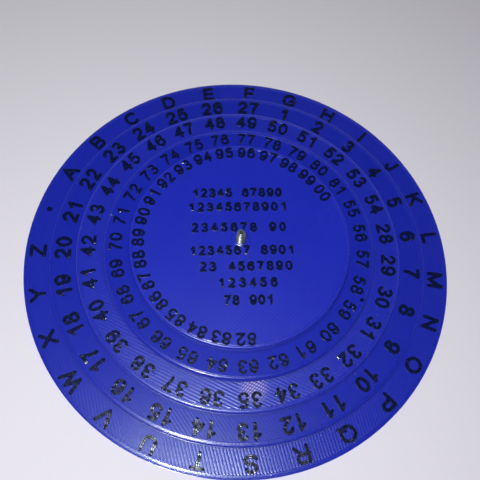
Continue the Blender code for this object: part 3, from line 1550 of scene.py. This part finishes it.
@dataclass
class Studio:
    """The table top, the lamp and the camera at the photograph's angle.

    Attributes:
        elevation: the camera's height above the horizon as seen from the wheel, in degrees.
        distance: from the camera to the middle of the wheel's underside.
        focal_pixels: the focal length in pixels of the photograph's frame.
        middle_pixel: where the middle of the wheel's underside lies in that frame.
        roll: how far the camera is turned about its view, in degrees.
    """

    elevation: float = 67.5
    distance: float = 177.9 * MM
    focal_pixels: float = 617.1
    frame_pixels: float = 480.0
    middle_pixel: Point = (238.24, 257.8)
    roll: float = 7.15
    sensor_width: float = 36.0
    nearest: float = 0.01
    table_size: float = 3.0
    backdrop_height: float = 1.5
    room_colour: Colour = (0.90, 0.94, 1.0, 1.0)
    room_strength: float = 0.055
    lamp_place: Place = (-0.029, -0.086, 0.285)
    lamp_aim: Place = (-0.01, -0.02, 0.0)
    lamp_size: float = 0.04
    lamp_power: float = 0.84
    lamp_colour: Place = (1.0, 0.99, 0.985)

    def build(self) -> None:
        """Make the table, the backdrop, the world, the lamp and the camera."""
        half = self.table_size / 2
        corners_round = [(-half, -half), (half, -half), (half, half), (-half, half)]
        points = [(x, y, z) for z in (0.0, self.backdrop_height) for x, y in corners_round]
        sides = [(place, place + 4, (place + 1) % 4 + 4, (place + 1) % 4) for place in range(4)]
        self._stand("table_top", points[:4], [(0, 1, 2, 3)], PaleTable().make())
        self._stand("backdrop", points, sides, PaleBackdrop().make())
        self._world()
        self._lamp()
        self._camera()
        bpy.context.scene.view_settings.view_transform = 'Standard'

    def _stand(self, name: str, points: list[Place], faces: list[tuple[int, ...]],
               material: bpy.types.Material) -> None:
        """Add a plain piece of the stage.

        Args:
            name: its name.
            points: its corners.
            faces: which corners each face has.
            material: its finish.
        """
        mesh = bpy.data.meshes.new(name)
        mesh.from_pydata(points, [], faces)
        mesh.materials.append(material)
        link_object(name, mesh)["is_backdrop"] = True
        LOG.info("%s: part of the stage", name)

    def _world(self) -> None:
        """Light the scene evenly from all round."""
        world = bpy.data.worlds.new("room")
        world.use_nodes = True
        canvas = Canvas(world.node_tree)
        room = canvas.out("ShaderNodeBackground", {"Color": self.room_colour, "Strength": self.room_strength})
        canvas.node("ShaderNodeOutputWorld", {"Surface": room})
        bpy.context.scene.world = world

    def _lamp(self) -> None:
        """Hang a soft round lamp."""
        light = bpy.data.lights.new("key_lamp", 'AREA')
        light.shape = 'DISK'
        light.size = self.lamp_size
        light.energy = self.lamp_power
        light.color = self.lamp_colour
        lamp = link_object("key_lamp", light)
        lamp.location = self.lamp_place
        ahead = Vector(self.lamp_aim) - Vector(self.lamp_place)
        lamp.rotation_euler = ahead.to_track_quat('-Z', 'Y').to_euler()
        LOG.info("key_lamp: %.2f W", self.lamp_power)

    def _camera(self) -> None:
        """Place the camera so that the wheel's middle falls on its pixel of the photograph."""
        rise = math.radians(self.elevation)
        place = Vector((0.0, -math.cos(rise), math.sin(rise))) * self.distance
        ahead = -place.normalized()
        right = Vector((1.0, 0.0, 0.0))
        up = right.cross(ahead)
        roll = math.radians(self.roll)
        turned_right = right * math.cos(roll) + up * math.sin(roll)
        turned_up = up * math.cos(roll) - right * math.sin(roll)
        level = Matrix((turned_right, turned_up, ahead))

        half = self.frame_pixels / 2
        aside = Vector(((self.middle_pixel[0] - half) / self.focal_pixels,
                        (half - self.middle_pixel[1]) / self.focal_pixels, 1.0)).normalized()
        swing = Vector((0.0, 0.0, 1.0)).rotation_difference(aside).to_matrix()
        axes = swing @ level
        turned = Matrix((axes[0], axes[1], -axes[2])).transposed()

        data = bpy.data.cameras.new("photo_camera")
        data.sensor_width = self.sensor_width
        data.lens = self.focal_pixels / self.frame_pixels * data.sensor_width
        data.clip_start = self.nearest
        camera = link_object("photo_camera", data)
        camera.matrix_world = Matrix.Translation(place) @ turned.to_4x4()
        bpy.context.scene.camera = camera
        LOG.info("photo_camera: %.1f mm lens", data.lens)


@dataclass
class CipherWheel:
    """The whole wheel: five printed discs with their characters, and the pin.

    Attributes:
        places: how many characters go round a disc.
        mark_turn: where the dot of disc 55_81 lies, clockwise from the first place, in degrees.
        mark_radius: how far the dot is from the pin.
    """

    places: int = 27
    mark_turn: float = 179.0
    mark_radius: float = 36.0 * MM

    def build(self) -> None:
        """Build the discs from the table up, then the pin and the characters."""
        self._discs()
        RingedNail().build(DrawnSteel().make())
        self._characters()

    def _discs(self) -> None:
        """Print the five discs."""
        broad = Crown(3, 3.4 * MM, math.radians(14.0))
        for disc in (
            PrintedDisc("letter_disc", Body.BASE,
                        Fill(angle=112.0, relief=0.68, sheen=0.45, tone=0.98, seed=1.0, covered=52.5 * MM),
                        broad, counterbore=(3.0 * MM, 1.3 * MM), skirt=0.0),
            PrintedDisc("disc_1_27", Body.RING_1_27,
                        Fill(angle=132.0, relief=0.32, sheen=0.35, tone=0.95, seed=2.0, covered=44.8 * MM),
                        broad),
            PrintedDisc("disc_28_54", Body.RING_28_54,
                        Fill(angle=161.0, relief=0.65, sheen=0.70, tone=1.02, seed=3.0, covered=37.0 * MM,
                             painted_glare_patch=(8.0 * MM, -37.8 * MM, 4.6 * MM))),
            PrintedDisc("disc_55_81", Body.RING_55_81,
                        Fill(angle=78.0, relief=0.25, sheen=0.33, tone=0.96, seed=4.0, covered=29.8 * MM)),
            PrintedDisc("disc_82_00", Body.RING_82_00,
                        Fill(angle=143.5, relief=0.48, sheen=0.72, tone=1.13, seed=5.0),
                        Crown(radius=0.45 * MM)),
        ):
            disc.build()

    def _counted(self, first: int, start: int) -> list[str]:
        """Return numbers that count round a ring, with first as the lowest and start at the first place."""
        return [str(first + (start - first + place) % self.places) for place in range(self.places)]

    def _characters(self) -> None:
        """Lay the rings of characters and the rows of numbers."""
        black = PrintedBlack().make()
        section = bead_section("bead_pair", 2)
        letters: list[Sequence[str]] = [[letter] for letter in CAPITALS] + [[DOT]]
        last = [str(number) for number in range(91, 100)] + ["00"] + [""] * 8
        last += [str(number) for number in range(82, 91)]
        for dial in (
            DialRing("letter_disc", Body.BASE, letters, 56.3 * MM, 4.7 * MM, turn=0.1, seed=11),
            DialRing("disc_1_27", Body.RING_1_27, self._counted(1, 22), 48.8 * MM, 4.6 * MM, turn=0.0,
                     seed=12),
            DialRing("disc_28_54", Body.RING_28_54, self._counted(28, 44), 41.5 * MM, 4.2 * MM, turn=-0.45,
                     seed=13, bead_width=0.86 * MM),
        ):
            dial.build(section, black)
        outer = DialRing("disc_55_81", Body.RING_55_81, self._counted(55, 72), 33.7 * MM, 3.6 * MM,
                         turn=-0.2, seed=14, bead_width=0.68 * MM)
        dot = Lettering(cap_height=4.0 * MM, bead_width=0.8 * MM, pitch=1.0 * MM)
        mark_angle = math.radians(outer.first_place - self.mark_turn)
        outer.build(section, black, outer.set_at(dot, [DOT], mark_angle, self.mark_radius))
        inner = DialRing("disc_82_00", Body.RING_82_00, last, 27.4 * MM, 3.5 * MM, turn=0.2, seed=15,
                         bead_width=0.70 * MM)
        rows = (NumberRow(-0.4, 14.4, 25.4, (5, 5)), NumberRow(-0.4, 10.0, 28.0, (11,)),
                NumberRow(-0.3, 3.8, 26.5, (7, 2)), NumberRow(0.3, -3.0, 28.7, (7, 4)),
                NumberRow(1.2, -7.6, 25.3, (2, 7)), NumberRow(1.4, -12.2, 16.6, (6,)),
                NumberRow(1.5, -17.0, 13.3, (2, 3)))
        inner.build(section, black, NumberTable("disc_82_00", rows).beads())
        bpy.data.objects.remove(section)


def corners(box: tuple[Vector, Vector]) -> list[list[float]]:
    """Return a box's corners as plain lists of numbers."""
    return [list(corner) for corner in box]


def main() -> None:
    """Dress the wheel, set the stage and measure both boxes."""
    logging.basicConfig(level=logging.INFO, format="%(name)s %(message)s")
    cad_box = corners(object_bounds())
    CipherWheel().build()
    Studio().build()
    {"cad": cad_box, "visual": corners(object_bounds())}


if __name__ == "__main__":
    main()
